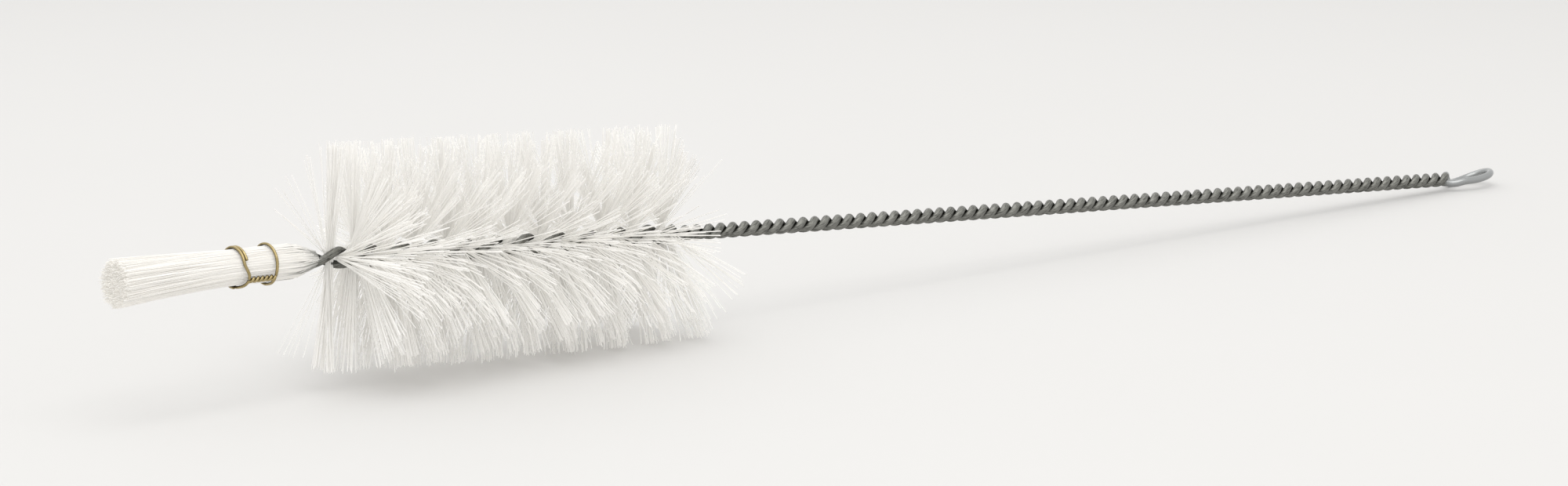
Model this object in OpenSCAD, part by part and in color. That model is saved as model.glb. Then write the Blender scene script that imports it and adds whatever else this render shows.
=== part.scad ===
// Bottle brush with a twisted wire stem.
//
// One wire is folded double. Its fold is the hanging eye, and its two strands are
// twisted together, left hand, all the way to the tip. Nylon filaments lie between
// the strands in the head. More filaments run forward at the tip as a soft tuft,
// which a thin brass wire ties round twice.
//
// The brush lies on a surface, as it does when it is put down: it stands on the
// bristles under the near end of its head and on its eye. The origin is on that
// surface, below the middle of the brush. +X points along the brush to the eye,
// and +Z points up. All sizes are in millimetres.

/* [Wire] */
// Diameter of the stem wire
wire_d = 2.0; // [1.6:0.1:2.4]
// Length of the bare twisted stem, from the eye to the head
stem_length = 282; // [225:1:340]
// Length of one full turn of the stem's twist
stem_lay = 7.9; // [6.6:0.05:9.6]
// Length of one full turn of the twist inside the head
head_lay = 19.3; // [16:0.1:24]
// Thickness of the layer of filaments that parts the two strands in the head
filament_layer = 1.6; // [1.2:0.1:2.0]
// Depth to which the twisted wire runs on inside the tip tuft
core_depth = 17; // [12:1:24]

/* [Eye] */
// Width of the eye, from the middle of one arm to the middle of the other
eye_width = 8.5; // [7:0.1:11]
// Length of the eye, from the end of the twist to the middle of the wire at its tip
eye_length = 16.2; // [13:0.1:20]
// Rise of the eye's tip above its lowest stretch
eye_lift = 2.4; // [1.6:0.1:4]
// Turn of the eye's plane about the stem, where 0 is level
eye_roll = -13; // [-20:1:0]

/* [Head] */
// Diameter of the head over its bristle tips
head_d = 55.2; // [45:0.1:67]
// Length of the head
head_length = 111.4; // [90:0.1:135]
// Depth to which the bristles under the head's near end are pressed in
bristle_give = 3.05; // [2.5:0.05:4]

/* [Tip tuft] */
// Length of the tuft, from the head to its cut end
tuft_length = 61; // [50:1:75]
// Diameter of the tuft where it is tied
waist_d = 8.8; // [8:0.1:11]
// Diameter of the tuft at its cut end
tip_d = 11.6; // [10.5:0.1:15]
// Angle by which the tuft hangs below the line of the stem
tuft_droop = 2; // [0:0.5:3]

/* [Tie] */
// Diameter of the brass tie wire
tie_wire_d = 0.75; // [0.6:0.05:0.9]
// Distance between the tie's two hoops
hoop_spacing = 9; // [7:0.5:11]
// Distance from the head to the nearer hoop
hoop_setback = 17.5; // [14:0.5:19]

/* [Pose] */
// Height of the stem's axis above the surface where the twist ends at the eye
stem_end_height = 3.4; // [3.2:0.1:4.5]

/* [Hidden] */

wire_sides = 8;
tie_sides = 6;
strand_gap = 0.03;          // between the two strands where they lie together
bristle_clearance = 0.12;   // between the wire and the filaments round it
tie_clearance = 0.04;       // between the tie and the tuft
layer_taper = 6;            // length over which the filament layer runs out
lay_blend = 8;              // length, from the head's start, over which the lay grows to the head's
eye_twist_end = -5;         // place in the eye where the last of the twist dies away
eye_blend = 7;              // length over which it dies away
tuft_root_gap = 1.5;        // from the head to the first filaments of the tuft
tuft_wall = 0.7;            // thickness of the tuft round the wire at its root
tuft_swell_margin = 3;      // from the end of the tuft's swell to the nearer hoop
tuft_open_margin = 2;       // from the farther hoop to where the tuft opens
bore_margin = 1;            // by which each bore runs past the face it opens in

// Places along the brush are distances from the end of the twist at the eye.
head_start = stem_length;
head_end = head_start + head_length;
tuft_root = head_end + tuft_root_gap;
tuft_end = head_end + tuft_length;
core_end = head_end + core_depth;
hoop_near = head_end + hoop_setback;
hoop_far = hoop_near + hoop_spacing;

// The brush leans down to its eye, so that the head's bristles and the eye both rest.
head_start_height = head_d / 2 - bristle_give;
tilt = asin((head_start_height - stem_end_height) / stem_length);

close_radius = wire_d / 2 + strand_gap;
head_radius = (wire_d + filament_layer) / 2;
core_envelope = head_radius + wire_d / 2 + bristle_clearance;

function smooth(q) = let (c = min(1, max(0, q))) c * c * (3 - 2 * c);
function unit(v) = v / norm(v);

// ---------------------------------------------------------------- the twist

// Turn of the strands at a place along the brush, in degrees. The rate of twist is
// nothing in the eye, the stem's over the stem, and the head's from the head on.
// Each change of rate is a straight ramp, so the turn is a sum of ramp areas.
stem_rate = 360 / stem_lay;
head_rate = 360 / head_lay;
function ramp_area(s, start, length) =
    s <= start ? 0 :
    s >= start + length ? s - start - length / 2 :
    (s - start) * (s - start) / (2 * length);
function turn_at(s) =
    eye_roll
    + stem_rate * ramp_area(s, eye_twist_end, eye_blend)
    + (head_rate - stem_rate) * ramp_area(s, head_start, lay_blend);

// Distance of each strand from the axis: close together on the stem, and parted by
// the filaments in the head and in the tuft.
function strand_radius(s) =
    close_radius
    + (head_radius - close_radius)
    * (smooth((s - head_start) / layer_taper)
       - 0.6 * smooth((s - head_end + layer_taper) / layer_taper));

function strand_point(s, side) =
    let (a = turn_at(s) + side, r = strand_radius(s)) [-s, r * cos(a), r * sin(a)];

// ------------------------------------------------------------------ the eye

// The eye is a teardrop about the axis. t runs from 0 where the arms part to 180 at
// the tip. The arms still turn a little as they part. They first drop, until the
// lower one lies on the surface, and then rise to the tip.
eye_step = 15;
eye_low_share = 0.3;
teardrop_crest = 0.7698;    // the largest value of sin(t) * sin(t / 2)
function eye_along(t) = eye_length * (1 - cos(t)) / 2;
function eye_half_width(t) =
    close_radius * pow(cos(t / 2), 2)
    + (eye_width / 2) * sin(t) * sin(t / 2) / teardrop_crest;
function eye_rise(t) =
    let (q = max(0, eye_along(t) / eye_length - eye_low_share) / (1 - eye_low_share))
    eye_lift * q * q;
function eye_lower_arm_height(t) =
    stem_end_height - eye_along(t) * sin(tilt)
    + (eye_rise(t) - eye_half_width(t) * abs(sin(turn_at(-eye_along(t))))) * cos(tilt);
eye_drop = min([for (t = [60:eye_step:180]) eye_lower_arm_height(t) - wire_d / 2]) / cos(tilt);
function eye_point(t, side) =
    let (w = eye_half_width(t), x = eye_along(t), a = turn_at(-x) + side)
    [x, w * cos(a), w * sin(a) + eye_rise(t)
        - eye_drop * smooth(x / (eye_low_share * eye_length))];

// ----------------------------------------------------------------- the sweep

// Carries a many-sided ring along a path. Each ring stands square to the path, with
// one corner towards upright(point), which never lies along the path.
module wire_along(path, diameter, sides, upright) {
    last = len(path) - 1;
    corners = [for (k = [0:sides - 1]) 90 + 360 * k / sides];
    rings = [
        for (i = [0:last])
            let (
                run = unit(path[min(i + 1, last)] - path[max(i - 1, 0)]),
                across = unit(cross(run, upright(path[i]))),
                up = cross(across, run)
            )
            for (c = corners) path[i] + diameter / 2 * (cos(c) * across + sin(c) * up)
    ];
    skin = [
        for (i = [0:last - 1], k = [0:sides - 1])
            let (next = (k + 1) % sides)
            [i * sides + k, i * sides + next, (i + 1) * sides + next, (i + 1) * sides + k]
    ];
    start_cap = [for (k = [0:sides - 1]) sides - 1 - k];
    end_cap = [for (k = [0:sides - 1]) last * sides + k];
    polyhedron(rings, concat(skin, [start_cap, end_cap]));
}

// ------------------------------------------------------------------- places

tuft_length_from_root = tuft_end - tuft_root;
tuft_lean = tilt - tuft_droop;

// How far the brush reaches along X to each side of the end of its twist. Half the
// difference brings the middle of the brush over the origin.
eye_reach = (eye_length + wire_d / 2) * cos(tilt) + (eye_lift - eye_drop) * sin(tilt);
tuft_reach = tuft_root * cos(tilt) + tuft_length_from_root * cos(tuft_lean)
    + tip_d / 2 * abs(sin(tuft_lean));
middle_shift = (tuft_reach - eye_reach) / 2;

// Puts the brush's own axis, which runs along X with the eye at +X, into its place.
module at_rest() {
    translate([middle_shift, 0, stem_end_height]) rotate([0, tilt, 0]) children();
}

// Puts the tuft's own axis, which runs from its root towards -X, into its place.
module at_tuft() {
    at_rest() translate([-tuft_root, 0, 0]) rotate([0, -tuft_droop, 0]) children();
}

// -------------------------------------------------------------------- wire

// Stations along the brush at even steps of turn: close on the stem, where the
// twist is fast, and wider in the head.
head_ring_step = head_lay / 9;
stem_ring_step = stem_lay / 7;
twist_stations = concat(
    [for (s = [core_end:-head_ring_step:head_start + lay_blend]) s],
    [for (s = [head_start + 3 / 4 * lay_blend:-stem_ring_step:stem_ring_step / 2]) s]
);
twist_count = len(twist_stations);

module stem_wire() {
    one_strand = [for (s = twist_stations) strand_point(s, 0)];
    one_arm = [for (t = [0:eye_step:180]) eye_point(t, 0)];
    other_arm = [for (t = [180 - eye_step:-eye_step:0]) eye_point(t, 180)];
    other_strand = [for (i = [twist_count - 1:-1:0]) strand_point(twist_stations[i], 180)];
    color("darkgray")
        at_rest()
            wire_along(concat(one_strand, one_arm, other_arm, other_strand),
                       wire_d, wire_sides, function(p) [0, 0, 1]);
}

// --------------------------------------------------------------- bristles

// The head is a round brush about the wire. Where its near end stands on the
// surface, the bristles give, which leaves a flat spot.
module head_bristles() {
    floor_size = 2 * (head_length + head_d);
    color("gainsboro")
        difference() {
            at_rest()
                translate([-head_end, 0, 0])
                    rotate([0, 90, 0])
                        difference() {
                            cylinder(h = head_length, d = head_d, $fn = 96);
                            translate([0, 0, -bore_margin])
                                cylinder(h = head_length + 2 * bore_margin,
                                         r = core_envelope, $fn = 48);
                        }
            translate([middle_shift - head_end, 0, -floor_size / 2])
                cube(floor_size, center = true);
        }
}

// The tuft swells from its root on the wire to its tied waist, and opens evenly
// from the tie to its cut end.
tuft_bore = strand_radius(core_end) + wire_d / 2 + bristle_clearance;
tuft_swell_end = hoop_near - tuft_root - tuft_swell_margin;
tuft_open_start = hoop_far - tuft_root + tuft_open_margin;
function tuft_radius(x) =
    let (
        root_radius = tuft_bore + tuft_wall,
        opened = max(0, x - tuft_open_start) / (tuft_length_from_root - tuft_open_start)
    )
    root_radius + (waist_d / 2 - root_radius) * smooth(x / tuft_swell_end)
    + (tip_d - waist_d) / 2 * opened;

module tip_tuft() {
    swell_stations = [for (q = [0:0.125:1]) q * tuft_swell_end];
    outline = concat(
        [[0, 0]],
        [for (x = swell_stations) [tuft_radius(x), x]],
        [[waist_d / 2, tuft_open_start]],
        [[tip_d / 2, tuft_length_from_root], [0, tuft_length_from_root]]
    );
    color("linen")
        difference() {
            at_tuft() rotate([0, -90, 0]) rotate_extrude($fn = 64) polygon(outline);
            at_rest()
                translate([bore_margin - tuft_root, 0, 0])
                    rotate([0, -90, 0])
                        cylinder(h = core_depth, r = tuft_bore, $fn = 48);
        }
}

// --------------------------------------------------------------------- tie

// The tie is one brass wire. Its middle is a single hoop round the tuft. Both ends
// are twisted together along the tuft's side as a link, and then part and go round
// the tuft once each, opposite ways, as a double hoop.
link_side = 208;            // where the link lies round the tuft, from +Y towards +Z
link_turns = 3;
lane = 0.56 * tie_wire_d;   // from the middle of the double hoop to each of its turns
shift_angle = 30;           // over which a hoop's wire shifts from the link to its lane
settle_angle = 45;          // over which it comes down from the link onto the tuft
cut_angle = 300;            // at which each turn of the double hoop is cut off
strand_offset = tie_wire_d / 2 + tie_clearance / 2;
hoop_radius = waist_d / 2 + tie_clearance + tie_wire_d / 2;
link_radius = hoop_radius + tie_wire_d / 2 + tie_clearance;
link_part = strand_offset / link_radius * 180 / PI;
single_hoop_at = hoop_near - tuft_root;
double_hoop_at = hoop_far - tuft_root;
link_start = single_hoop_at + 0.5 * tie_wire_d;
link_end = double_hoop_at - 1.25 * tie_wire_d;
hoop_step = 15;

function round_tuft(x, radius, angle) = [-x, radius * cos(angle), radius * sin(angle)];
function link_point(q, side) =
    let (a = 90 + side + 360 * link_turns * q)
    round_tuft(link_start + q * (link_end - link_start),
               link_radius + strand_offset * cos(a),
               link_side + link_part * sin(a));
function leaving(a, from, to, over) = from + (to - from) * smooth(a / over);
function double_hoop_point(a, way) =
    round_tuft(leaving(a, link_end, double_hoop_at - way * lane, shift_angle),
               leaving(a, link_radius, hoop_radius, settle_angle),
               link_side + way * (link_part + a));
function single_hoop_point(a) =
    let (from_link = min(a, 360 - 2 * link_part - a))
    round_tuft(leaving(from_link, link_start, single_hoop_at, shift_angle),
               leaving(from_link, link_radius, hoop_radius, settle_angle),
               link_side + link_part + a);

module tie_wire() {
    link_shares = [for (i = [0:8 * link_turns]) i / (8 * link_turns)];
    link_count = len(link_shares);
    path = concat(
        [for (a = [cut_angle:-hoop_step:hoop_step]) double_hoop_point(a, 1)],
        [for (i = [link_count - 1:-1:0]) link_point(link_shares[i], 0)],
        [for (a = [hoop_step:hoop_step:360 - hoop_step]) single_hoop_point(a)],
        [for (q = link_shares) link_point(q, 180)],
        [for (a = [hoop_step:hoop_step:cut_angle]) double_hoop_point(a, -1)]
    );
    color("goldenrod")
        at_tuft() wire_along(path, tie_wire_d, tie_sides, function(p) unit([0, p.y, p.z]));
}

stem_wire();
head_bristles();
tip_tuft();
tie_wire();
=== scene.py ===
"""A twisted-in-wire bottle brush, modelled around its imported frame.

One galvanised wire is folded double. Its fold is the hanging eye, and its two strands are
twisted together, left hand, down to the tip. Nylon filaments are clamped between the strands
in the head, and more run forward at the tip as a soft tuft, which a brass wire ties round.

Places along the brush are distances in metres from the end of the twist at the eye, growing
towards the tuft. All meshes are surfaces worked out with numpy as whole arrays.
"""

import logging
import math
from dataclasses import dataclass, field
from enum import Enum

import bpy
import numpy as np
from mathutils import Matrix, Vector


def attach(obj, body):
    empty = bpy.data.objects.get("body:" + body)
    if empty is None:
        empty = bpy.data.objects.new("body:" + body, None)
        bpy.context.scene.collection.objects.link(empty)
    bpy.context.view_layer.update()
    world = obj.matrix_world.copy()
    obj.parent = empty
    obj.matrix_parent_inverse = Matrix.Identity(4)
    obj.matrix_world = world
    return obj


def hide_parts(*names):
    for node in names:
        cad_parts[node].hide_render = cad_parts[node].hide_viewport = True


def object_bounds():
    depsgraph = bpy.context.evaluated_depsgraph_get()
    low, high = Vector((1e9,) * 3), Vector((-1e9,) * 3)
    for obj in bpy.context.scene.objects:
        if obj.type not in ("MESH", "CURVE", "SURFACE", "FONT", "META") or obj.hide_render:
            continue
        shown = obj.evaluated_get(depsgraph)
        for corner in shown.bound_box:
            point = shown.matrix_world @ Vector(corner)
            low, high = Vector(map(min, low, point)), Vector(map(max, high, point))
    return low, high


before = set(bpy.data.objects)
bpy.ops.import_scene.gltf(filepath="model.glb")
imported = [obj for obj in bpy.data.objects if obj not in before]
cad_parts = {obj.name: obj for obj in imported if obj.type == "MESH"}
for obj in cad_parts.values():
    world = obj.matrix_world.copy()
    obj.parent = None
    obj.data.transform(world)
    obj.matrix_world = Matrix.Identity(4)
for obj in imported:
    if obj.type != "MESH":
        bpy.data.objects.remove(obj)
CAD_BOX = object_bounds()

LOG = logging.getLogger("bottle_brush")
MM = 0.001
BODY = "root"
Array = np.ndarray
Pair = tuple[float, float]
Triple = tuple[float, float, float]
Tree = bpy.types.NodeTree
Node = bpy.types.Node
Piece = bpy.types.Object
Chance = np.random.Generator
UPRIGHT = np.array([0.0, 0.0, 1.0])
# Blender's Mix node has sockets of the same names for each kind of value. These are the
# numbers of those that take and give colours.
MIX_FIRST, MIX_SECOND, MIX_RESULT = 6, 7, 2


# ---- small mathematics


def smooth(q: Array) -> Array:
    """Smooth step: 3 q squared less 2 q cubed, held at 0 below 0 and at 1 above 1.

    Args:
        q: Values of any shape.

    Returns:
        The eased values, from 0 to 1.
    """
    c = np.clip(q, 0.0, 1.0)
    return c * c * (3.0 - 2.0 * c)


def unit(v: Array) -> Array:
    """Vectors along the last axis, each divided by its length."""
    return v / np.maximum(np.linalg.norm(v, axis=-1, keepdims=True), 1e-12)


def ramp_area(s: Array, start: float, length: float) -> Array:
    """Area under a rate that grows in a straight line from 0 to 1 over a stretch.

    It is nothing before the stretch, half the distance squared over the length within it,
    and the distance less half the length after it.

    Args:
        s: Places along the brush.
        start: Where the ramp starts.
        length: How long the ramp is.

    Returns:
        The area up to each place.
    """
    d = s - start
    return np.where(d <= 0, 0.0, np.where(d >= length, d - length / 2, d * d / (2 * length)))


# ---- the layout


@dataclass(frozen=True)
class Layout:
    """The driving sizes of the brush, in metres and degrees, and where it lies."""

    wire_d: float = 2.0 * MM
    stem_length: float = 282.0 * MM
    stem_lay: float = 7.90 * MM
    head_lay: float = 19.3 * MM
    filament_layer: float = 1.6 * MM
    core_depth: float = 17.0 * MM
    head_d: float = 55.2 * MM
    head_length: float = 111.4 * MM
    bristle_give: float = 3.05 * MM
    tuft_length: float = 61.0 * MM
    tuft_root_gap: float = 1.5 * MM
    waist_d: float = 8.8 * MM
    tip_d: float = 11.6 * MM
    hoop_spacing: float = 9.0 * MM
    hoop_setback: float = 17.5 * MM
    tie_wire_d: float = 0.75 * MM
    eye_width: float = 8.5 * MM
    eye_length: float = 16.2 * MM
    eye_lift: float = 2.4 * MM
    eye_roll: float = -13.0
    eye_low_share: float = 0.3
    eye_twist_end: float = -5.0 * MM
    eye_blend: float = 7.0 * MM
    lay_blend: float = 8.0 * MM
    layer_taper: float = 6.0 * MM
    strand_gap: float = 0.03 * MM
    strand_close: float = 0.6
    stem_end_height: float = 3.4 * MM
    eye_tip_x: float = 0.0

    @property
    def head_start(self) -> float:
        """Where the head begins, at the end of the bare stem."""
        return self.stem_length

    @property
    def head_end(self) -> float:
        """Where the head ends, next to the tuft."""
        return self.stem_length + self.head_length

    @property
    def tilt(self) -> float:
        """Fall of the stem towards the eye, in radians, from the two heights it rests at."""
        head_height = self.head_d / 2 - self.bristle_give
        return math.asin((head_height - self.stem_end_height) / self.stem_length)

    @property
    def end_x(self) -> float:
        """Where the end of the twist lies along X, so that the eye's tip ends the frame's box."""
        wire_radius = self.wire_d / 2
        reach = (self.eye_length + wire_radius) * math.cos(self.tilt)
        rise = (self.eye_lift - wire_radius) * math.sin(self.tilt)
        return self.eye_tip_x - reach - rise

    def place(self, points: Array) -> Array:
        """Points in the brush's own frame, turned by the tilt and moved to where it lies.

        Args:
            points: Array (..., 3) of (along X to the eye, across, up) about the stem's axis.

        Returns:
            The same points in the row frame.
        """
        c, s = math.cos(self.tilt), math.sin(self.tilt)
        x, y, z = points[..., 0], points[..., 1], points[..., 2]
        return np.stack([x * c + z * s + self.end_x, y, z * c - x * s + self.stem_end_height],
                        axis=-1)

    def turn(self, s: Array) -> Array:
        """Turn of the strands, in radians, at places along the brush.

        It is the roll at the eye, the stem's rate of turn times the area under the ramp that
        starts it, and the head's change of rate times the area under the ramp between them.
        """
        stem_rate = 2 * math.pi / self.stem_lay
        head_rate = 2 * math.pi / self.head_lay
        return (math.radians(self.eye_roll)
                + stem_rate * ramp_area(s, self.eye_twist_end, self.eye_blend)
                + (head_rate - stem_rate)
                * ramp_area(s, self.head_start, self.lay_blend))

    def strand_radius(self, s: Array) -> Array:
        """Distance of each strand from the axis.

        It is close on the stem, parted in the head by the layer of filaments, and closed again
        by a share of that at the head's far end, each with the smooth step over the taper.
        """
        close = self.wire_d / 2 + self.strand_gap
        parted = (self.wire_d + self.filament_layer) / 2
        opens = smooth((s - self.head_start) / self.layer_taper)
        end = smooth((s - self.head_end + self.layer_taper) / self.layer_taper)
        closes = self.strand_close * end
        return close + (parted - close) * (opens - closes)


# ---- mesh making


def tubes(paths: Array, radius: Array, sides: int, lean: Array) -> tuple[Array, Array]:
    """Many-sided tubes along many paths of equal length, all at once.

    A ring stands square to the path at every point: its two axes are the path's direction
    crossed with the lean, and that crossed with the direction again.

    Args:
        paths: Array (tubes, stations, 3).
        radius: Array that spreads over (tubes, stations).
        sides: Corners in each ring.
        lean: Array that spreads over (tubes, stations, 3), never along the path.

    Returns:
        Vertices (count, 3) and quads (count, 4) that wind outwards. The ends are open.
    """
    count, stations, _ = paths.shape
    run = np.empty_like(paths)
    run[:, 1:-1] = paths[:, 2:] - paths[:, :-2]
    run[:, 0] = paths[:, 1] - paths[:, 0]
    run[:, -1] = paths[:, -1] - paths[:, -2]
    run = unit(run)
    across = unit(np.cross(run, np.broadcast_to(lean, paths.shape)))
    up = np.cross(across, run)
    angle = 2 * np.pi * np.arange(sides) / sides
    ring = (np.cos(angle)[:, None] * across[:, :, None, :]
            + np.sin(angle)[:, None] * up[:, :, None, :])
    size = np.broadcast_to(radius, (count, stations))[:, :, None, None]
    points = paths[:, :, None, :] + size * ring
    index = np.arange(count * stations * sides).reshape(count, stations, sides)
    after = np.roll(index, -1, axis=2)
    quads = np.stack([index[:, :-1], index[:, 1:], after[:, 1:], after[:, :-1]], axis=-1)
    return points.reshape(-1, 3), quads.reshape(-1, 4)


def end_caps(count: int, stations: int, sides: int) -> Array:
    """The two faces that close each tube, as corner numbers (2 x count, sides)."""
    index = np.arange(count * stations * sides).reshape(count, stations, sides)
    return np.concatenate([index[:, 0, :], index[:, -1, ::-1]])


def build_mesh(name: str, vertices: Array, faces: list[Array],
               values: dict[str, Array] | None = None, smooth_faces: bool = True
               ) -> Piece:
    """A mesh object from arrays of corners, standing at the origin.

    Args:
        name: Name of the object.
        vertices: Array (count, 3), in the row frame.
        faces: Arrays of corner numbers, each (faces, corners).
        values: Named numbers for every vertex, kept as point attributes.
        smooth_faces: Whether the faces are shaded smooth.

    Returns:
        The new object, in the scene.
    """
    mesh = bpy.data.meshes.new(name)
    loops = np.concatenate([f.ravel() for f in faces]).astype(np.int32)
    totals = np.concatenate([np.full(len(f), f.shape[1]) for f in faces]).astype(np.int32)
    starts = np.concatenate([[0], np.cumsum(totals)[:-1]]).astype(np.int32)
    mesh.vertices.add(len(vertices))
    mesh.vertices.foreach_set("co", vertices.astype(np.float32).ravel())
    mesh.loops.add(len(loops))
    mesh.loops.foreach_set("vertex_index", loops)
    mesh.polygons.add(len(totals))
    mesh.polygons.foreach_set("loop_start", starts)
    mesh.polygons.foreach_set("loop_total", totals)
    mesh.polygons.foreach_set("use_smooth", np.full(len(totals), smooth_faces))
    mesh.update(calc_edges=True)
    for key, array in (values or {}).items():
        layer = mesh.attributes.new(key, "FLOAT", "POINT")
        layer.data.foreach_set("value", array.astype(np.float32).ravel())
    mesh.validate()
    piece = bpy.data.objects.new(name, mesh)
    bpy.context.scene.collection.objects.link(piece)
    return piece


# ---- finishes


class Finish(Enum):
    """The record's material slot names. Nothing in this script uses them."""

    WIRE = "galvanised_wire"
    HEAD = "head_filaments"
    TUFT = "tuft_filaments"
    TIE = "brass_wire"


def add_node(tree: Tree, kind: str, inputs: dict | None = None,
             **settings: object) -> Node:
    """A shader node with its settings and the fixed values of its sockets.

    Args:
        tree: The tree that takes the node.
        kind: Blender's name for the node type.
        inputs: Values by socket name or number.
        settings: Attributes of the node itself.

    Returns:
        The new node.
    """
    node = tree.nodes.new(kind)
    for key, value in settings.items():
        setattr(node, key, value)
    set_inputs(node, inputs or {})
    return node


def set_inputs(node: Node, inputs: dict) -> None:
    """Gives a node's sockets their fixed values, by socket name or number."""
    for key, value in inputs.items():
        node.inputs[key].default_value = value


def join(tree: Tree, *links: tuple) -> None:
    """Links sockets. Each link is a node, its output, another node and its input."""
    for start, output, end, socket in links:
        tree.links.new(start.outputs[output], end.inputs[socket])


def attribute_node(tree: Tree, name: str) -> Node:
    """A node that reads one of the numbers kept on the vertices."""
    return add_node(tree, "ShaderNodeAttribute", attribute_name=name)


def share_node(tree: Tree, share: float) -> Node:
    """A node that takes a share of its first input."""
    return add_node(tree, "ShaderNodeMath", {1: share}, operation="MULTIPLY")


def range_node(tree: Tree, low: float, high: float) -> Node:
    """A node that carries a value from 0 to 1 over to a range of its own."""
    return add_node(tree, "ShaderNodeMapRange", {"To Min": low, "To Max": high})


def colour_mix(tree: Tree, first: Triple | None, second: Triple) -> Node:
    """A node that mixes two colours. A first colour of None is left for a link."""
    fixed = {MIX_SECOND: (*second, 1.0)}
    if first is not None:
        fixed[MIX_FIRST] = (*first, 1.0)
    return add_node(tree, "ShaderNodeMix", fixed, data_type="RGBA")


def new_material(name: str) -> tuple[bpy.types.Material, Tree, Node]:
    """A new material, with its node tree and its surface shader."""
    mat = bpy.data.materials.new(name)
    mat.use_nodes = True
    return mat, mat.node_tree, mat.node_tree.nodes["Principled BSDF"]


def mottle_group() -> Tree:
    """The shared effect of fine unevenness, in two sizes of noise on Object coordinates.

    It puts out a mask from 0 to 1 and a height: the mask is the coarse noise sharpened by its
    contrast and mixed with the fine noise, and the height is the fine noise alone.
    """
    name = "surface_mottle"
    if name in bpy.data.node_groups:
        return bpy.data.node_groups[name]
    tree = bpy.data.node_groups.new(name, "ShaderNodeTree")
    for label, value in (("Coarse Scale", 300.0), ("Fine Scale", 2000.0), ("Contrast", 2.0)):
        socket = tree.interface.new_socket(label, in_out="INPUT", socket_type="NodeSocketFloat")
        socket.default_value = value
    tree.interface.new_socket("Mask", in_out="OUTPUT", socket_type="NodeSocketFloat")
    tree.interface.new_socket("Height", in_out="OUTPUT", socket_type="NodeSocketFloat")
    source = tree.nodes.new("NodeGroupInput")
    sink = tree.nodes.new("NodeGroupOutput")
    coords = tree.nodes.new("ShaderNodeTexCoord")
    coarse = add_node(tree, "ShaderNodeTexNoise", {"Detail": 3.0, "Roughness": 0.6})
    fine = add_node(tree, "ShaderNodeTexNoise", {"Detail": 2.0, "Roughness": 0.5})
    centred = add_node(tree, "ShaderNodeMath", {1: 0.5}, operation="SUBTRACT")
    sharpened = add_node(tree, "ShaderNodeMath", operation="MULTIPLY")
    lifted = add_node(tree, "ShaderNodeMath", {1: 0.5}, operation="ADD", use_clamp=True)
    mixed = add_node(tree, "ShaderNodeMix", {"Factor": 0.35}, data_type="FLOAT")
    for noise, label in ((coarse, "Coarse Scale"), (fine, "Fine Scale")):
        join(tree, (coords, "Object", noise, "Vector"), (source, label, noise, "Scale"))
    join(tree, (coarse, "Fac", centred, 0), (centred, 0, sharpened, 0),
         (source, "Contrast", sharpened, 1), (sharpened, 0, lifted, 0), (lifted, 0, mixed, "A"),
         (fine, "Fac", mixed, "B"), (mixed, "Result", sink, "Mask"),
         (fine, "Fac", sink, "Height"))
    return tree


def mottle_node(tree: Tree, scales: Triple) -> Node:
    """The shared mottle as a node, with its coarse scale, its fine scale and its contrast."""
    coarse, fine, contrast = scales
    return add_node(tree, "ShaderNodeGroup", {"Coarse Scale": coarse, "Fine Scale": fine,
                                              "Contrast": contrast}, node_tree=mottle_group())


def scratch_group() -> Tree:
    """The shared effect of fine scratches along a drawn wire, on the wire's own attributes.

    Noise is taken at the place along the wire, drawn out, and at the two parts of the way
    round it, so that its spots become long thin marks. It puts out a mask from 0 to 1.
    """
    name = "drawn_scratches"
    if name in bpy.data.node_groups:
        return bpy.data.node_groups[name]
    tree = bpy.data.node_groups.new(name, "ShaderNodeTree")
    tree.interface.new_socket("Mask", in_out="OUTPUT", socket_type="NodeSocketFloat")
    sink = tree.nodes.new("NodeGroupOutput")
    place = tree.nodes.new("ShaderNodeCombineXYZ")
    noise = add_node(tree, "ShaderNodeTexNoise",
                     {"Scale": 4.0, "Detail": 3.0, "Roughness": 0.65})
    mask = add_node(tree, "ShaderNodeMapRange", {"From Min": 0.46, "From Max": 0.68})
    for label, socket in (("along", "X"), ("round_a", "Y"), ("round_b", "Z")):
        way = attribute_node(tree, label)
        join(tree, (way, "Fac", place, socket))
    join(tree, (place, "Vector", noise, "Vector"), (noise, "Fac", mask, "Value"),
         (mask, "Result", sink, "Mask"))
    return tree


def facing_axis(path: Array, points: Array) -> Array:
    """Cosine between each corner's way out of its wire and the way to the axis.

    Args:
        path: Points (stations, 3) on the wire's middle line.
        points: The corners of its tube, with as many round each station.

    Returns:
        One number for each corner, 1 where it faces the axis.
    """
    centre = np.repeat(path, len(points) // len(path), axis=0)
    inward = -unit(centre * np.array([0.0, 1.0, 1.0]))
    return (unit(points - centre) * inward).sum(axis=-1)


def drawn_marks(path: Array, sides: int, stretch: float) -> dict[str, Array]:
    """The attributes that carry the scratches: the way along a wire, and the way round it.

    Args:
        path: Points (stations, 3) on the wire's middle line.
        sides: Sides of the wire's tube.
        stretch: Length of wire that counts as much as one radius of the way round.

    Returns:
        One number for each vertex, by attribute name.
    """
    steps = np.linalg.norm(np.diff(path, axis=0), axis=-1)
    along = np.concatenate([[0.0], np.cumsum(steps)]) / stretch
    turn = np.tile(2 * np.pi * np.arange(sides) / sides, len(path))
    return {"along": np.repeat(along, sides), "round_a": np.cos(turn), "round_b": np.sin(turn)}


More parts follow.
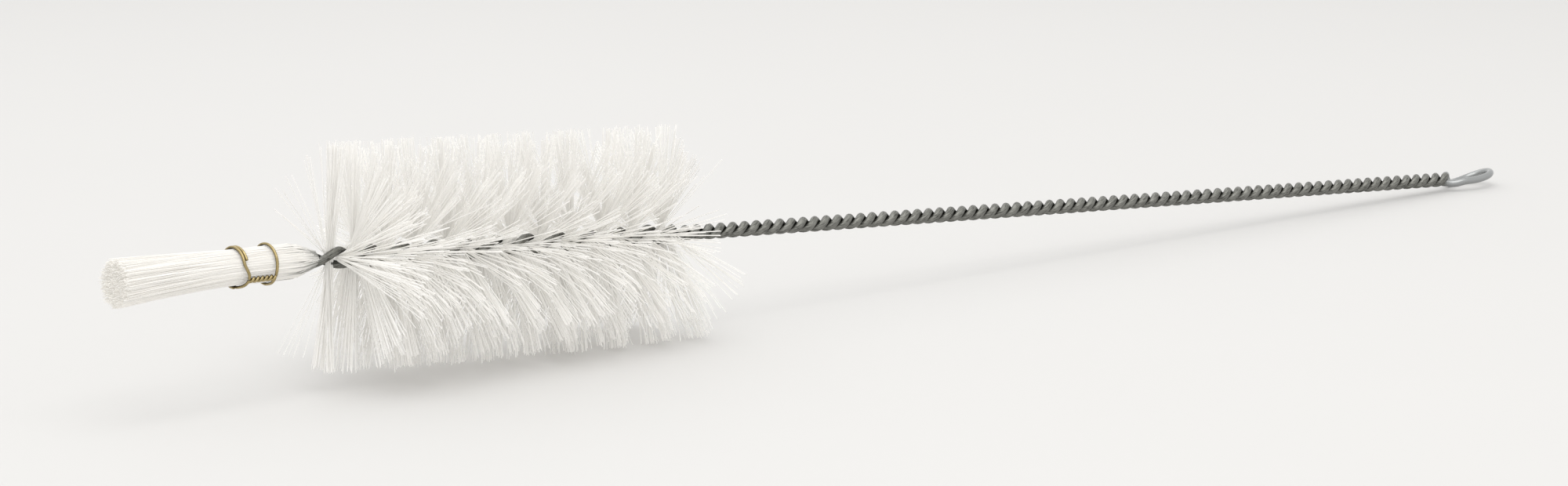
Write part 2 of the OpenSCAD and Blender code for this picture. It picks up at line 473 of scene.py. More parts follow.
@dataclass(frozen=True)
class Metal:
    """A drawn wire's finish: a bright colour, a dull one that is painted shade in the grooves and
    wear elsewhere, and a shine that is a painted sheen.

    The mix is a share of the groove attribute, which paints shade where the wire meets its
    neighbour, a share of the mottle and a share of the scratches, which are wear, added up, and it
    mixes the bright colour towards the dull one. The mottle alone carries the roughness from its
    lowest to its highest value. Where the eye's clean attribute is 1 the colour is the shine
    instead, a painted sheen, and the roughness is a share of its lowest value.
    """

    name: str
    bright: Triple
    dull_and_shade: Triple
    shine: Triple
    roughness: Pair
    metallic: float
    groove_shade_share: float
    scratch_share: float
    mottle: Triple
    bump: float
    spot_share: float = 0.3
    clean_roughness: float = 0.7
    bump_depth: float = 0.05 * MM

    def material(self) -> bpy.types.Material:
        """Builds the material."""
        mat, tree, shader = new_material(self.name)
        set_inputs(shader, {"Metallic": self.metallic})
        mottle = mottle_node(tree, self.mottle)
        groove_shade = attribute_node(tree, "groove_shade")
        share = share_node(tree, self.groove_shade_share)
        spotted = share_node(tree, self.spot_share)
        # Painted shade in the grooves, added to the wear of the mottle and the scratches.
        wear_and_shade = add_node(tree, "ShaderNodeMath", operation="ADD", use_clamp=True)
        scratch = add_node(tree, "ShaderNodeGroup", node_tree=scratch_group())
        scored = share_node(tree, self.scratch_share)
        marks = add_node(tree, "ShaderNodeMath", operation="ADD")
        colour = colour_mix(tree, self.bright, self.dull_and_shade)
        # The eye's clean mark: its colour is the shine, a painted sheen brighter than the wire's
        # own colour.
        clean = attribute_node(tree, "clean")
        shined = colour_mix(tree, None, self.shine)
        rough = range_node(tree, *self.roughness)
        smoothed = add_node(tree, "ShaderNodeMix",
                            {"B": self.roughness[0] * self.clean_roughness}, data_type="FLOAT")
        bump = add_node(tree, "ShaderNodeBump",
                        {"Strength": self.bump, "Distance": self.bump_depth})
        join(tree, (groove_shade, "Fac", share, 0), (mottle, "Mask", spotted, 0),
             (scratch, "Mask", scored, 0), (spotted, 0, marks, 0), (scored, 0, marks, 1),
             (share, 0, wear_and_shade, 0), (marks, 0, wear_and_shade, 1), (wear_and_shade, 0, colour, "Factor"),
             (clean, "Fac", shined, "Factor"), (colour, MIX_RESULT, shined, MIX_FIRST),
             (shined, MIX_RESULT, shader, "Base Color"), (mottle, "Mask", rough, "Value"),
             (clean, "Fac", smoothed, "Factor"), (rough, "Result", smoothed, "A"),
             (smoothed, "Result", shader, "Roughness"), (mottle, "Height", bump, "Height"),
             (bump, "Normal", shader, "Normal"))
        return mat


@dataclass(frozen=True)
class Nylon:
    """Drawn nylon filament: a root colour, darker as painted shade near the wire, a tip colour, and
    a tone for each filament.

    The reach attribute mixes the root colour towards the tip colour, and the tone attribute,
    which is one number for each filament, scales the result within the tone range. A share of
    the surface lets light through, in the same colour.
    """

    name: str
    root: Triple
    tip: Triple
    sheen_level: float
    let_through: float
    tone_range: Pair = (0.93, 1.0)
    roughness: Pair = (0.34, 0.50)
    refraction: float = 1.53
    mottle: Triple = (420.0, 2600.0, 1.6)

    def material(self) -> bpy.types.Material:
        """Builds the material."""
        mat, tree, shader = new_material(self.name)
        set_inputs(shader, {"IOR": self.refraction, "Specular IOR Level": self.sheen_level})
        reach = attribute_node(tree, "reach")
        tone = attribute_node(tree, "tone")
        colour = colour_mix(tree, self.root, self.tip)
        level = range_node(tree, *self.tone_range)
        toned = add_node(tree, "ShaderNodeVectorMath", operation="SCALE")
        mottle = mottle_node(tree, self.mottle)
        rough = range_node(tree, *self.roughness)
        through = add_node(tree, "ShaderNodeBsdfTranslucent")
        both = add_node(tree, "ShaderNodeMixShader", {"Fac": self.let_through})
        join(tree, (reach, "Fac", colour, "Factor"), (colour, MIX_RESULT, toned, 0),
             (tone, "Fac", level, "Value"), (level, "Result", toned, "Scale"),
             (toned, 0, shader, "Base Color"), (mottle, "Mask", rough, "Value"),
             (rough, "Result", shader, "Roughness"), (toned, 0, through, "Color"),
             (shader, "BSDF", both, 1), (through, "BSDF", both, 2))
        join(tree, (both, "Shader", tree.nodes["Material Output"], "Surface"))
        return mat


# The dull colour is painted shade in the grooves between the strands and wear in the marks; the
# shine is a painted sheen for the eye.
GALVANISED = Metal("galvanised_wire", bright=(0.25, 0.25, 0.23), dull_and_shade=(0.035, 0.035, 0.03),
                   shine=(0.33, 0.34, 0.34), roughness=(0.34, 0.60), metallic=0.8,
                   groove_shade_share=0.9, scratch_share=0.8, mottle=(420.0, 3600.0, 2.0), bump=0.35)
# The dull colour is painted shade where the tie lies on the tuft, and wear in the marks.
BRASS = Metal("brass_wire", bright=(0.50, 0.40, 0.20), dull_and_shade=(0.04, 0.03, 0.015),
              shine=(0.50, 0.40, 0.20), roughness=(0.16, 0.38), metallic=1.0,
              groove_shade_share=1.0, scratch_share=0.3, mottle=(700.0, 3200.0, 2.6), bump=0.25)
# The root colour is a little darker, as painted shade deep in the head near the wire.
HEAD_NYLON = Nylon("head_nylon", root=(0.94, 0.933, 0.915), tip=(0.96, 0.953, 0.94),
                   sheen_level=0.25, let_through=0.35)
# The dark root colour is painted shade where the tuft meets the head and the wire.
TUFT_NYLON = Nylon("tuft_nylon", root=(0.36, 0.36, 0.34), tip=(0.945, 0.935, 0.915),
                   sheen_level=0.2, let_through=0.3)


def dress(piece: Piece, material: bpy.types.Material,
          node: str) -> None:
    """Gives a piece its material and its body, and hides the imported node that it stands for."""
    piece.data.materials.clear()
    piece.data.materials.append(material)
    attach(piece, BODY)
    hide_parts(node)
    LOG.info("%s: %d faces", piece.name, len(piece.data.polygons))


# ---- the wire


@dataclass
class StemWire:
    """The one wire: a strand from the tip to the eye, the eye, and the strand back."""

    layout: Layout
    sides: int = 14
    stem_rings_per_turn: int = 18
    head_rings_per_turn: int = 30
    eye_rings: int = 60
    join_rings_per_turn: int = 40
    eye_join_rings_per_turn: int = 60
    groove_shade_start: float = -0.25
    groove_shade_span: float = 0.9
    # How far the eye's painted sheen fades into the twist.
    clean_fade: float = 1.0 * MM
    scratch_length: float = 6.0 * MM

    def strand(self, s: Array, side: float) -> Array:
        """One strand's middle line: a left-hand helix about the axis, at the strand radius.

        Args:
            s: Places along the brush.
            side: 0 for one strand and pi for the other.

        Returns:
            Points (count, 3) in the brush's own frame.
        """
        angle = self.layout.turn(s) + side
        r = self.layout.strand_radius(s)
        return np.stack([-s, r * np.cos(angle), r * np.sin(angle)], axis=-1)

    def eye_arm(self, t: Array, side: float) -> Array:
        """One arm of the eye: half of a teardrop about the axis, from the twist to the tip.

        With t from 0 to pi, the way along is the length times half of one less the cosine,
        and the half width is that of the twist, fading, and the sine times the sine of the
        half angle. The arm first drops until the lower arm lies on the surface, and then
        rises to the tip with the square of the distance.

        Args:
            t: Angles from 0 at the twist to pi at the tip.
            side: 0 for one arm and pi for the other.

        Returns:
            Points (count, 3) in the brush's own frame.
        """
        lay = self.layout
        along = self.eye_along(t)
        width = self.eye_half_width(t)
        angle = lay.turn(-along) + side
        sag = self.eye_drop() * smooth(along / (lay.eye_low_share * lay.eye_length))
        return np.stack([along, width * np.cos(angle),
                         width * np.sin(angle) + self.eye_rise(t) - sag], axis=-1)

    def eye_along(self, t: Array) -> Array:
        """Distance of a place on the eye from the end of the twist."""
        return self.layout.eye_length * (1 - np.cos(t)) / 2

    def eye_half_width(self, t: Array) -> Array:
        """Half the width of the eye: the twist's own, fading, and the teardrop's."""
        crest = 4.0 / (3.0 * math.sqrt(3.0))
        close = self.layout.wire_d / 2 + self.layout.strand_gap
        return (close * np.cos(t / 2) ** 2
                + self.layout.eye_width / 2 * np.sin(t) * np.sin(t / 2) / crest)

    def eye_rise(self, t: Array) -> Array:
        """Rise of the eye towards its tip."""
        lay = self.layout
        q = np.maximum(0.0, self.eye_along(t) / lay.eye_length - lay.eye_low_share)
        return lay.eye_lift * (q / (1 - lay.eye_low_share)) ** 2

    def eye_drop(self) -> float:
        """How far the arms drop for the lower one to lie on the surface."""
        lay = self.layout
        t = np.radians(np.arange(60, 181, 15))
        along = self.eye_along(t)
        low = self.eye_half_width(t) * np.abs(np.sin(lay.turn(-along)))
        height = (lay.stem_end_height - along * math.sin(lay.tilt)
                  + (self.eye_rise(t) - low) * math.cos(lay.tilt))
        return float((height.min() - lay.wire_d / 2) / math.cos(lay.tilt))

    def path(self) -> Array:
        """The wire's whole middle line, from one hidden end round the eye to the other."""
        lay = self.layout
        core_end = lay.head_end + lay.core_depth
        split = lay.head_start + lay.lay_blend
        head_s = np.arange(core_end, split, -lay.head_lay / self.head_rings_per_turn)
        stem_s = np.arange(split - lay.stem_lay / self.join_rings_per_turn,
                           lay.stem_lay / self.eye_join_rings_per_turn,
                           -lay.stem_lay / self.stem_rings_per_turn)
        s = np.concatenate([head_s, stem_s])
        t = np.linspace(0.0, np.pi, self.eye_rings)
        return np.concatenate([self.strand(s, 0.0), self.eye_arm(t, 0.0),
                               self.eye_arm(t[:-1], np.pi)[::-1],
                               self.strand(s[::-1], np.pi)])

    def build(self) -> Piece:
        """Builds the wire and marks its painted groove shade and its eye.

        A groove is where a strand of the twist faces the axis, and shade is painted there: the
        smooth step of the cosine, from its start over its span. The eye is marked clean, for a
        painted sheen and a smoother surface, fading into the twist.
        """
        path = self.path()
        points, quads = tubes(path[None], np.array(self.layout.wire_d / 2), self.sides, UPRIGHT)
        caps = end_caps(1, len(path), self.sides)
        along = np.repeat(path[:, 0], self.sides)
        groove_shade = smooth((facing_axis(path, points) - self.groove_shade_start) / self.groove_shade_span)
        return build_mesh("twisted_wire", self.layout.place(points), [quads, caps],
                          {"groove_shade": groove_shade * (along < 0),
                           "clean": 1.0 - smooth(-along / self.clean_fade),
                           **drawn_marks(path, self.sides, self.scratch_length)})


# ---- the filaments


@dataclass
class Filaments:
    """A crop of nylon filaments of one gauge, as closed four-sided tubes."""

    layout: Layout
    gauge: float = 0.24 * MM
    sides: int = 4

    def mesh(self, name: str, paths: Array, reach: Array, tone: Array) -> Piece:
        """Turns filament paths into one mesh, flat shaded, so that it loses no light.

        Args:
            name: Name of the piece.
            paths: Array (filaments, stations, 3) in the row frame.
            reach: Array (filaments, stations): 0 at the wire and 1 at a free tip.
            tone: One number from 0 to 1 for each filament.

        Returns:
            The piece.
        """
        count, stations, _ = paths.shape
        whole = unit(paths[:, -1] - paths[:, 0])
        helper = np.where(np.abs(whole[:, :1]) < 0.8, [[1.0, 0.0, 0.0]], [[0.0, 1.0, 0.0]])
        lean = unit(np.cross(whole, helper))[:, None, :]
        points, quads = tubes(paths, np.array(self.gauge / 2), self.sides, lean)
        caps = end_caps(count, stations, self.sides)
        return build_mesh(name, points, [np.concatenate([quads, caps])],
                          {"reach": np.repeat(reach.ravel(), self.sides),
                           "tone": np.repeat(tone, stations * self.sides)},
                          smooth_faces=False)


@dataclass
class BristleHead(Filaments):
    """The head: filaments clamped at their middles between the two strands.

    Each filament crosses the axis square to the line between the strands, so the crop winds
    round the wire as two helical sheets. The filaments stand in small locks that share a lean
    along the brush, and those leans fill the space between one sheet and the next. Past the
    main crop come a bare stretch of the wire and a short crop of its own, the end fan.

    Leans, turns and their spreads are in degrees.
    """

    count: int = 2300
    fan_count: int = 66
    lock_size: int = 11
    lock_mixing: float = 2.0
    seed: int = 11
    half_stations: int = 6
    pieces: int = 2
    main_span: Pair = (4.2 * MM, 108.6 * MM)
    fan_span: Pair = (109.0 * MM, 111.2 * MM)
    # Leans along the brush, towards the eye.
    lean_mean: float = -2.5
    lean_reach: float = 8.0
    lean_spread: float = 1.6
    end_length: float = 4.0 * MM
    end_lean: float = 3.5
    end_draw: float = 8.0
    stray_share: float = 0.012
    stray_lean: float = 14.0
    spray_mean: float = 1.0
    spray_spread: float = 1.7
    spray_share: float = 0.22
    spray_lean: float = 21.0
    spray_limit: float = 56.0
    opening_lean: float = 30.0
    opening_length: float = 2.2 * MM
    back_lean: float = 34.0
    back_length: float = 12.0 * MM
    # Turns round the wire.
    lock_turn: float = 4.5
    round_spread: float = 1.6
    loose_turn: float = 14.0
    loose_length: float = 1.6 * MM
    fan_looseness: float = 0.2
    fan_turn: float = 4.0
    # Lengths and bow.
    length_spread: float = 0.006
    least_cosine: float = 0.88
    fan_shortening: float = 0.35
    bow: float = 0.4 * MM
    # Thinning, so that the wire shows between the filaments on one side.
    bare_side: float = 165.0
    bare_turn: float = 24.0
    bare_share: float = 0.55
    near_bare_share: float = 0.93
    near_length: float = 7.0 * MM
    full_length: float = 14.0 * MM
    # Splay on the surface.
    touch_spread: float = 0.35 * MM
    most_press: float = 0.9
    side_splay: Pair = (0.6, 0.3)
    ahead_splay: Pair = (0.1, 0.8)

    def in_fan(self, s: Array) -> Array:
        """Whether each filament is in the end fan, whose filaments come last."""
        return np.arange(len(s)) >= self.count

    def left(self, s: Array) -> Array:
        """Distance left from each place to the far end of the main crop."""
        return self.layout.head_start + self.main_span[1] - s

    def nearness(self, s: Array, length: float) -> Array:
        """The exponential of less the way from the crop's near end over a length."""
        way = np.maximum(0.0, s - self.layout.head_start - self.main_span[0])
        return np.exp(-way / length)

    def places(self, rng: Chance) -> tuple[Array, Array]:
        """Where each filament crosses the axis, and the number of its lock.

        The main crop is spread evenly, and its locks follow each other along the brush, mixed
        a little where they meet. The end fan's places are drawn by chance and put in order.
        """
        lay = self.layout
        n, fan = self.count, self.fan_count
        even = (np.arange(n) + rng.random(n)) / n
        low, high = self.main_span
        main = lay.head_start + low + even * (high - low)
        low, high = self.fan_span
        end = lay.head_start + low + np.sort(rng.random(fan)) * (high - low)
        number = np.arange(n + fan) + rng.normal(0.0, self.lock_mixing, n + fan)
        lock = np.maximum(0, number / self.lock_size).astype(int)
        return np.concatenate([main, end]), lock

    def leans(self, s: Array, lock: Array, rng: Chance) -> Array:
        """Lean of each half towards the eye, in radians.

        In the main crop it is the mean, an even chance between two limits for the lock and a
        little for the half. Both ends add to it, fading with the distance, and a few halves
        stray far. In the end fan it is small, but a share of the halves lean widely towards
        the tuft, with exponential chance, up to a limit.

        Args:
            s: Places along the brush.
            lock: Number of each filament's lock.
            rng: Source of chance.

        Returns:
            Array (filaments, 2).
        """
        both = (len(s), 2)
        shared = rng.uniform(-1.0, 1.0, (int(lock.max()) + 1, 2))[lock] * self.lean_reach
        own = rng.normal(0.0, self.lean_spread, both)
        push = self.end_lean * self.nearness(s, self.end_length)[:, None] * rng.random(both)
        stray = rng.random(both) < self.stray_share
        wild = np.where(stray, rng.normal(0.0, self.stray_lean, both), 0.0)
        far = np.exp(-self.left(s) / self.end_length)
        draw = self.end_draw * np.minimum(far, 1.0)[:, None]
        lean = self.lean_mean + shared + own + push + wild + draw
        wide = rng.random(both) < self.spray_share
        spray = (rng.normal(self.spray_mean, self.spray_spread, both)
                 - wide * rng.exponential(self.spray_lean, both))
        spray = np.maximum(spray, -self.spray_limit)
        return np.radians(np.where(self.in_fan(s)[:, None], spray, lean))

    def turns(self, s: Array, lock: Array, rng: Chance) -> Array:
        """Angle of each half about the axis, in radians.

        A half stands a quarter turn from the strands, with a scatter for its lock and one of
        its own, which grows towards the far end of the main crop with the exponential of less
        the distance left. The fan's halves stand upright, one up and one down.

        Args:
            s: Places along the brush.
            lock: Number of each filament's lock.
            rng: Source of chance.

        Returns:
            Array (filaments, 2).
        """
        both = (len(s), 2)
        shared = rng.normal(0.0, self.lock_turn, (int(lock.max()) + 1, 2))[lock]
        left = self.left(s)
        loose = np.where(left > 0, np.exp(-left / self.loose_length), self.fan_looseness)
        spread = self.round_spread + self.loose_turn * loose
        scatter = np.radians(shared + rng.normal(0.0, 1.0, both) * spread[:, None])
        quarter = np.array([0.5, 1.5]) * np.pi
        crossing = self.layout.turn(s)[:, None] + quarter + scatter
        upright = quarter + np.radians(self.fan_turn) * rng.normal(0.0, 1.0, both)
        return np.where(self.in_fan(s)[:, None], upright, crossing)

    def end_leans(self, s: Array, radial: Array) -> Array:
        """Lean that the halves gain at the far end of the main crop, in radians.

        Halves that point up open the gap before the fan, with the smooth step. Halves that
        point across, away from the camera's side, lean with the exponential of less the
        square of the distance left over a length.
        """
        left = self.left(s)[:, None]
        opened = smooth(1.0 - left / self.opening_length) * np.maximum(0.0, radial[..., 2])
        share = np.exp(-(np.maximum(0.0, left) / self.back_length) ** 2)
        rear = np.maximum(0.0, radial[..., 1]) * share
        gained = math.radians(self.opening_lean) * opened + math.radians(self.back_lean) * rear
        return gained * ~self.in_fan(s)[:, None]

    def kept(self, s: Array, angle: Array, rng: Chance) -> Array:
        """Which filaments stay when those that stand before the wire are thinned out.

        A filament stands before the wire if its angle is within the bare turn of the bare
        side, or of its opposite. Its chance of going is the bare share, which grows towards
        the near end. None go within the full length of the crop's far end.
        """
        facing = np.abs(np.cos(angle - math.radians(self.bare_side)))
        before = facing > math.cos(math.radians(self.bare_turn))
        near = self.nearness(s, self.near_length)
        chance = self.bare_share + (self.near_bare_share - self.bare_share) * near
        return ~(before & (self.left(s) > self.full_length) & (rng.random(len(s)) < chance))

    def halves(self, rng: Chance) -> tuple[Array, Array]:
        """Both halves of every filament, as straight lines from the wire with a slight bow.

        A half's length is the head's radius over the cosine of its lean, held from growing
        too long, and in the fan it is less by a share of the lean. The bow grows with the
        square of the way out.

        Args:
            rng: Source of chance.

        Returns:
            Points (filaments, 2, stations, 3) in the brush's own frame, from the wire out,
            and the place along the brush where each filament is clamped.
        """
        lay = self.layout
        s, lock = self.places(rng)
        n = len(s)
        lean = self.leans(s, lock, rng)
        angle = self.turns(s, lock, rng)
        radial = np.stack([np.zeros_like(angle), np.cos(angle), np.sin(angle)], axis=-1)
        lean = lean + self.end_leans(s, radial)
        along = np.array([1.0, 0.0, 0.0])
        way = np.cos(lean)[..., None] * radial + np.sin(lean)[..., None] * along
        turn = lay.turn(s)
        offset = (rng.random(n) - 0.5) * (lay.filament_layer - self.gauge)
        root = np.stack([-s, offset * np.cos(turn), offset * np.sin(turn)], axis=-1)
        radius = lay.head_d / 2 * (1 + rng.normal(0.0, self.length_spread, (n, 2)))
        length = radius / np.maximum(np.cos(lean), self.least_cosine)
        shorter = 1.0 - self.fan_shortening * np.abs(lean)
        length = length * np.where(self.in_fan(s)[:, None], shorter, 1.0)
        q = np.linspace(0.0, 1.0, self.half_stations)
        bow = unit(rng.normal(0.0, 1.0, (n, 2, 3))) * rng.normal(0.0, self.bow, (n, 2, 1))
        points = (root[:, None, None, :]
                  + (way * length[..., None])[:, :, None, :] * q[:, None]
                  + bow[:, :, None, :] * (q * q)[:, None])
        keep = self.kept(s, angle[:, 0], rng)
        return points[keep], s[keep]

    def rest_on_surface(self, points: Array, rng: Chance) -> Array:
        """Splays the halves that would reach below the surface, keeping their length.

        A half that would reach too low keeps its direction at the wire and is bent more and
        more towards its tip: its fall is cut by the square of the way along, so that the tip
        just touches, and the length it no longer needs downwards goes sideways.

        Args:
            points: Halves (filaments, 2, stations, 3) in the row frame.
            rng: Source of chance.

        Returns:
            The halves with nothing below the surface.
        """
        floor = self.gauge / 2
        root, tip = points[:, :, :1], points[:, :, -1:]
        fall = root[..., 2] - tip[..., 2]
        room = root[..., 2] - floor - np.abs(rng.normal(0.0, self.touch_spread, fall.shape))
        press = np.clip(1.0 - room / np.maximum(fall, 1e-6), 0.0, self.most_press)
        q = np.linspace(0.0, 1.0, points.shape[2])
        kept = 1.0 - press * q ** 2
        line = points - root
        length = np.linalg.norm(tip - root, axis=-1)
        spare = np.sqrt(np.maximum(length ** 2 - (fall * (1 - press)) ** 2, 0.0))
        flat = np.linalg.norm((tip - root)[..., :2], axis=-1)
        side = np.sign(line[..., -1:, 1]) * np.abs(rng.normal(*self.side_splay, fall.shape))
        ahead = rng.normal(*self.ahead_splay, fall.shape)
        sideways = unit(np.stack([ahead, side, np.zeros_like(side)], axis=-1))
        extra = np.maximum(spare - flat, 0.0)[..., None] * sideways * (q ** 2)[:, None]
        bent = root + np.concatenate([line[..., :2], line[..., 2:] * kept[..., None]], axis=-1)
        bent = bent + np.where(press[..., None] > 0, extra, 0.0)
        bent[..., 2] = np.maximum(bent[..., 2], floor)
        return bent

    def build(self) -> list[Piece]:
        """Builds the head as a few pieces, one after another along the brush."""
        rng = np.random.default_rng(self.seed)
        points, s = self.halves(rng)
        points = self.rest_on_surface(self.layout.place(points), rng)
        paths = np.concatenate([points[:, 0, :0:-1], points[:, 1]], axis=1)
        q = np.linspace(0.0, 1.0, self.half_stations)
        reach = np.broadcast_to(np.concatenate([q[:0:-1], q]), paths.shape[:2])
        tone = rng.random(len(s))
        parts = np.array_split(np.argsort(s), self.pieces)
        return [self.mesh(f"head_bristles_{number}", paths[part], reach[part], tone[part])
                for number, part in enumerate(parts, start=1)]


@dataclass
class TipTuft(Filaments):
    """The soft tuft: filaments gathered over the wire's end, tied, and open at the tip."""

    gauge: float = 0.19 * MM
    count: int = 1900
    seed: int = 23
    stations: int = 12
    droop: float = 0.6
    sag: float = 1.9 * MM
    # The outline.
    root_radius: float = 1.9 * MM
    swell_length: float = 9.5 * MM
    pinch_depth: float = 0.22 * MM
    pinch_length: float = 1.3 * MM
    opening_start: float = 2.0 * MM
    opening_power: float = 1.1
    # The filaments' starts, ends and wanderings.
    root_start: float = 1.7 * MM
    root_spread: float = 3.5 * MM
    root_power: float = 1.5
    end_margin: float = 0.5 * MM
    end_spread: float = 0.35 * MM
    around_spread: float = 0.15
    wander_spread: float = 0.05
    wander_power: float = 1.5
    twist_spread: float = 0.10
    twist_mean: float = 0.16
    core_length: float = 11.0 * MM
    core_share: float = 0.55
    # How far from the root each filament is painted dark, as painted shade where the tuft meets the
    # head and the wire. A share stay dark further out, as streaks of painted shade.
    shade_streak_share: float = 0.12
    shade_streak_reach: Pair = (4.0, 12.0)
    plain_reach: Pair = (-3.0, 3.0)
    reach_fade: float = 3.0 * MM

    @property
    def root(self) -> float:
        """Where the tuft starts."""
        return self.layout.head_end + self.layout.tuft_root_gap

    @property
    def length(self) -> float:
        """Length of the tuft from its root to its cut end."""
        return self.layout.head_end + self.layout.tuft_length - self.root

    @property
    def single_hoop(self) -> float:
        """Place of the single hoop, from the tuft's root."""
        return self.layout.head_end + self.layout.hoop_setback - self.root

    @property
    def double_hoop(self) -> float:
        """Place of the double hoop, from the tuft's root."""
        return self.single_hoop + self.layout.hoop_spacing

    def place(self, points: Array) -> Array:
        """Points about the tuft's own axis (from the root to -X), drooped and put in place."""
        d = math.radians(self.droop)
        x, y, z = points[..., 0], points[..., 1], points[..., 2]
        z = z - self.sag * (x / self.length) ** 2
        own = np.stack([x * math.cos(d) - z * math.sin(d) - self.root, y,
                        x * math.sin(d) + z * math.cos(d)], axis=-1)
        return self.layout.place(own)

    def outline(self, x: Array) -> Array:
        """Radius of the tuft: a swell from its root to the waist, and an opening to its end.

        The swell is the smooth step. The opening is a power of the share of the way from the
        double hoop to the end, and each hoop pinches by the bell curve of the distance to it.

        Args:
            x: Distances from the tuft's root.

        Returns:
            The radius at each distance.
        """
        lay = self.layout
        swell = smooth(x / self.swell_length)
        start = self.double_hoop + self.opening_start
        opened = np.maximum(0.0, x - start) / (self.length - start)
        pinch = sum(np.exp(-((x - at) / self.pinch_length) ** 2)
                    for at in (self.single_hoop, self.double_hoop))
        return (self.root_radius + (lay.waist_d / 2 - self.root_radius) * swell
                - self.pinch_depth * pinch
                + (lay.tip_d - lay.waist_d) / 2 * opened ** self.opening_power)

    def build(self) -> Piece:
        """Builds the tuft: filaments packed as a sunflower's seeds, each wandering a little.

        A filament's share of the radius is the square root of its number over the count, and
        each stands a golden angle on from the one before. Near the root all stand further out,
        round the hidden wire. Past the double hoop they wander and turn more and more.
        """
        rng = np.random.default_rng(self.seed)
        n = self.count
        number = np.arange(n) + 0.5
        share = np.sqrt(number / n)
        golden = 3 - math.sqrt(5)
        around = number * math.pi * golden + rng.normal(0.0, self.around_spread, n)
        start = self.root_start + rng.random(n) ** self.root_power * self.root_spread
        end = self.length - self.end_margin + rng.normal(0.0, self.end_spread, n)
        q = np.linspace(0.0, 1.0, self.stations)
        x = start[:, None] + (end - start)[:, None] * q
        hold = self.outline(x) - self.gauge / 2
        beyond = np.maximum(0.0, x - self.double_hoop) / (self.length - self.double_hoop)
        wander = rng.normal(0.0, self.wander_spread, (n, 1)) * beyond ** self.wander_power
        twist = rng.normal(0.0, self.twist_spread, (n, 1)) * beyond + self.twist_mean * beyond
        core = self.core_share * (1.0 - smooth(x / self.core_length))
        r = hold * (share[:, None] * (1 - core) + core + wander)
        angle = around[:, None] + twist
        paths = np.stack([-x, r * np.cos(angle), r * np.sin(angle)], axis=-1)
        # Painted shade from each filament's root, longer for a share of them.
        shade_streak = rng.random(n) < self.shade_streak_share
        dark = np.where(shade_streak, rng.uniform(*self.shade_streak_reach, n),
                        rng.uniform(*self.plain_reach, n)) * MM
        reach = smooth((x - dark[:, None]) / self.reach_fade)
        tone = rng.random(n)
        return self.mesh("tip_tuft_filaments", self.place(paths), reach, tone)


@dataclass
class TieWire:
    """The brass tie: a single hoop, a twisted link, and a double hoop, all one wire."""

    layout: Layout
    tuft: TipTuft
    sides: int = 10
    link_side: float = 208.0
    link_turns: int = 3
    link_rings_per_turn: int = 24
    single_rings: int = 90
    double_rings: int = 70
    double_turn: float = 300.0
    settle_turn: float = 45.0
    single_lead: float = 0.08
    double_lead: float = 0.06
    single_gap: float = 0.5
    double_gap: float = 1.25
    lane: float = 0.56
    clearance: float = 0.04 * MM
    groove_shade_start: float = -0.3
    scratch_length: float = 3.0 * MM

    @property
    def hoop_radius(self) -> float:
        """Radius of the hoops' middle line."""
        return self.layout.waist_d / 2 + self.clearance + self.layout.tie_wire_d / 2

    @property
    def link_radius(self) -> float:
        """Distance of the link's own axis from the tuft's."""
        return self.hoop_radius + self.layout.tie_wire_d / 2 + self.clearance

    def round_tuft(self, x: Array, radius: Array, angle: Array) -> Array:
        """Points at a distance along, a radius and an angle about the tuft's axis."""
        x, radius, angle = np.broadcast_arrays(x, radius, angle)
        return np.stack([-x, radius * np.cos(angle), radius * np.sin(angle)], axis=-1)

    def path(self) -> Array:
        """The wire's middle line, from one cut end to the other.

        The link's strands wind about the link's axis at half a wire's width. Each hoop leaves
        the link's radius and settles onto the tuft within an eighth of a turn. The link's gaps
        to the hoops, and the lane of the double hoop's two rounds, are in widths of the wire.
        """
        lay = self.layout
        wire = lay.tie_wire_d
        offset = wire / 2 + self.clearance / 2
        part = offset / self.link_radius
        side = math.radians(self.link_side)
        single, double = self.tuft.single_hoop, self.tuft.double_hoop
        link_start = single + self.single_gap * wire
        link_end = double - self.double_gap * wire

        def settle(a: Array, start: float, end: float) -> Array:
            """The smooth step from one value to another over the settling turn."""
            return start + (end - start) * smooth(a / math.radians(self.settle_turn))

        def link(q: Array, strand: float) -> Array:
            """One strand of the link, from the single hoop to the double one."""
            a = math.pi / 2 + strand + 2 * math.pi * self.link_turns * q
            return self.round_tuft(link_start + q * (link_end - link_start),
                                   self.link_radius + offset * np.cos(a),
                                   side + part * np.sin(a))

        def double_hoop(a: Array, way: int) -> Array:
            """One round of the double hoop, which goes off to its own side of the link."""
            return self.round_tuft(settle(a, link_end, double - way * self.lane * wire),
                                   settle(a, self.link_radius, self.hoop_radius),
                                   side + way * (part + a))

        single_end = 2 * math.pi - 2 * part
        a = np.linspace(self.double_lead, math.radians(self.double_turn), self.double_rings)
        b = np.linspace(self.single_lead, single_end - self.single_lead, self.single_rings)
        near = np.minimum(b, single_end - b)
        q = np.linspace(0.0, 1.0, self.link_rings_per_turn * self.link_turns)
        single_hoop = self.round_tuft(settle(near, link_start, single),
                                      settle(near, self.link_radius, self.hoop_radius),
                                      side + part + b)
        return np.concatenate([double_hoop(a, 1)[::-1], link(q, 0.0)[::-1], single_hoop,
                               link(q, math.pi), double_hoop(a, -1)])

    def build(self) -> Piece:
        """Builds the tie and paints shade where it faces the tuft, as a groove mask with the smooth
        step.
        """
        path = self.path()
        lean = unit(path * np.array([0.0, 1.0, 1.0]))
        points, quads = tubes(path[None], np.array(self.layout.tie_wire_d / 2), self.sides,
                              lean[None])
        caps = end_caps(1, len(path), self.sides)
        return build_mesh("brass_tie", self.tuft.place(points), [quads, caps],
                          {"groove_shade": smooth(facing_axis(path, points) - self.groove_shade_start),
                           **drawn_marks(path, self.sides, self.scratch_length)})


# ---- the stage


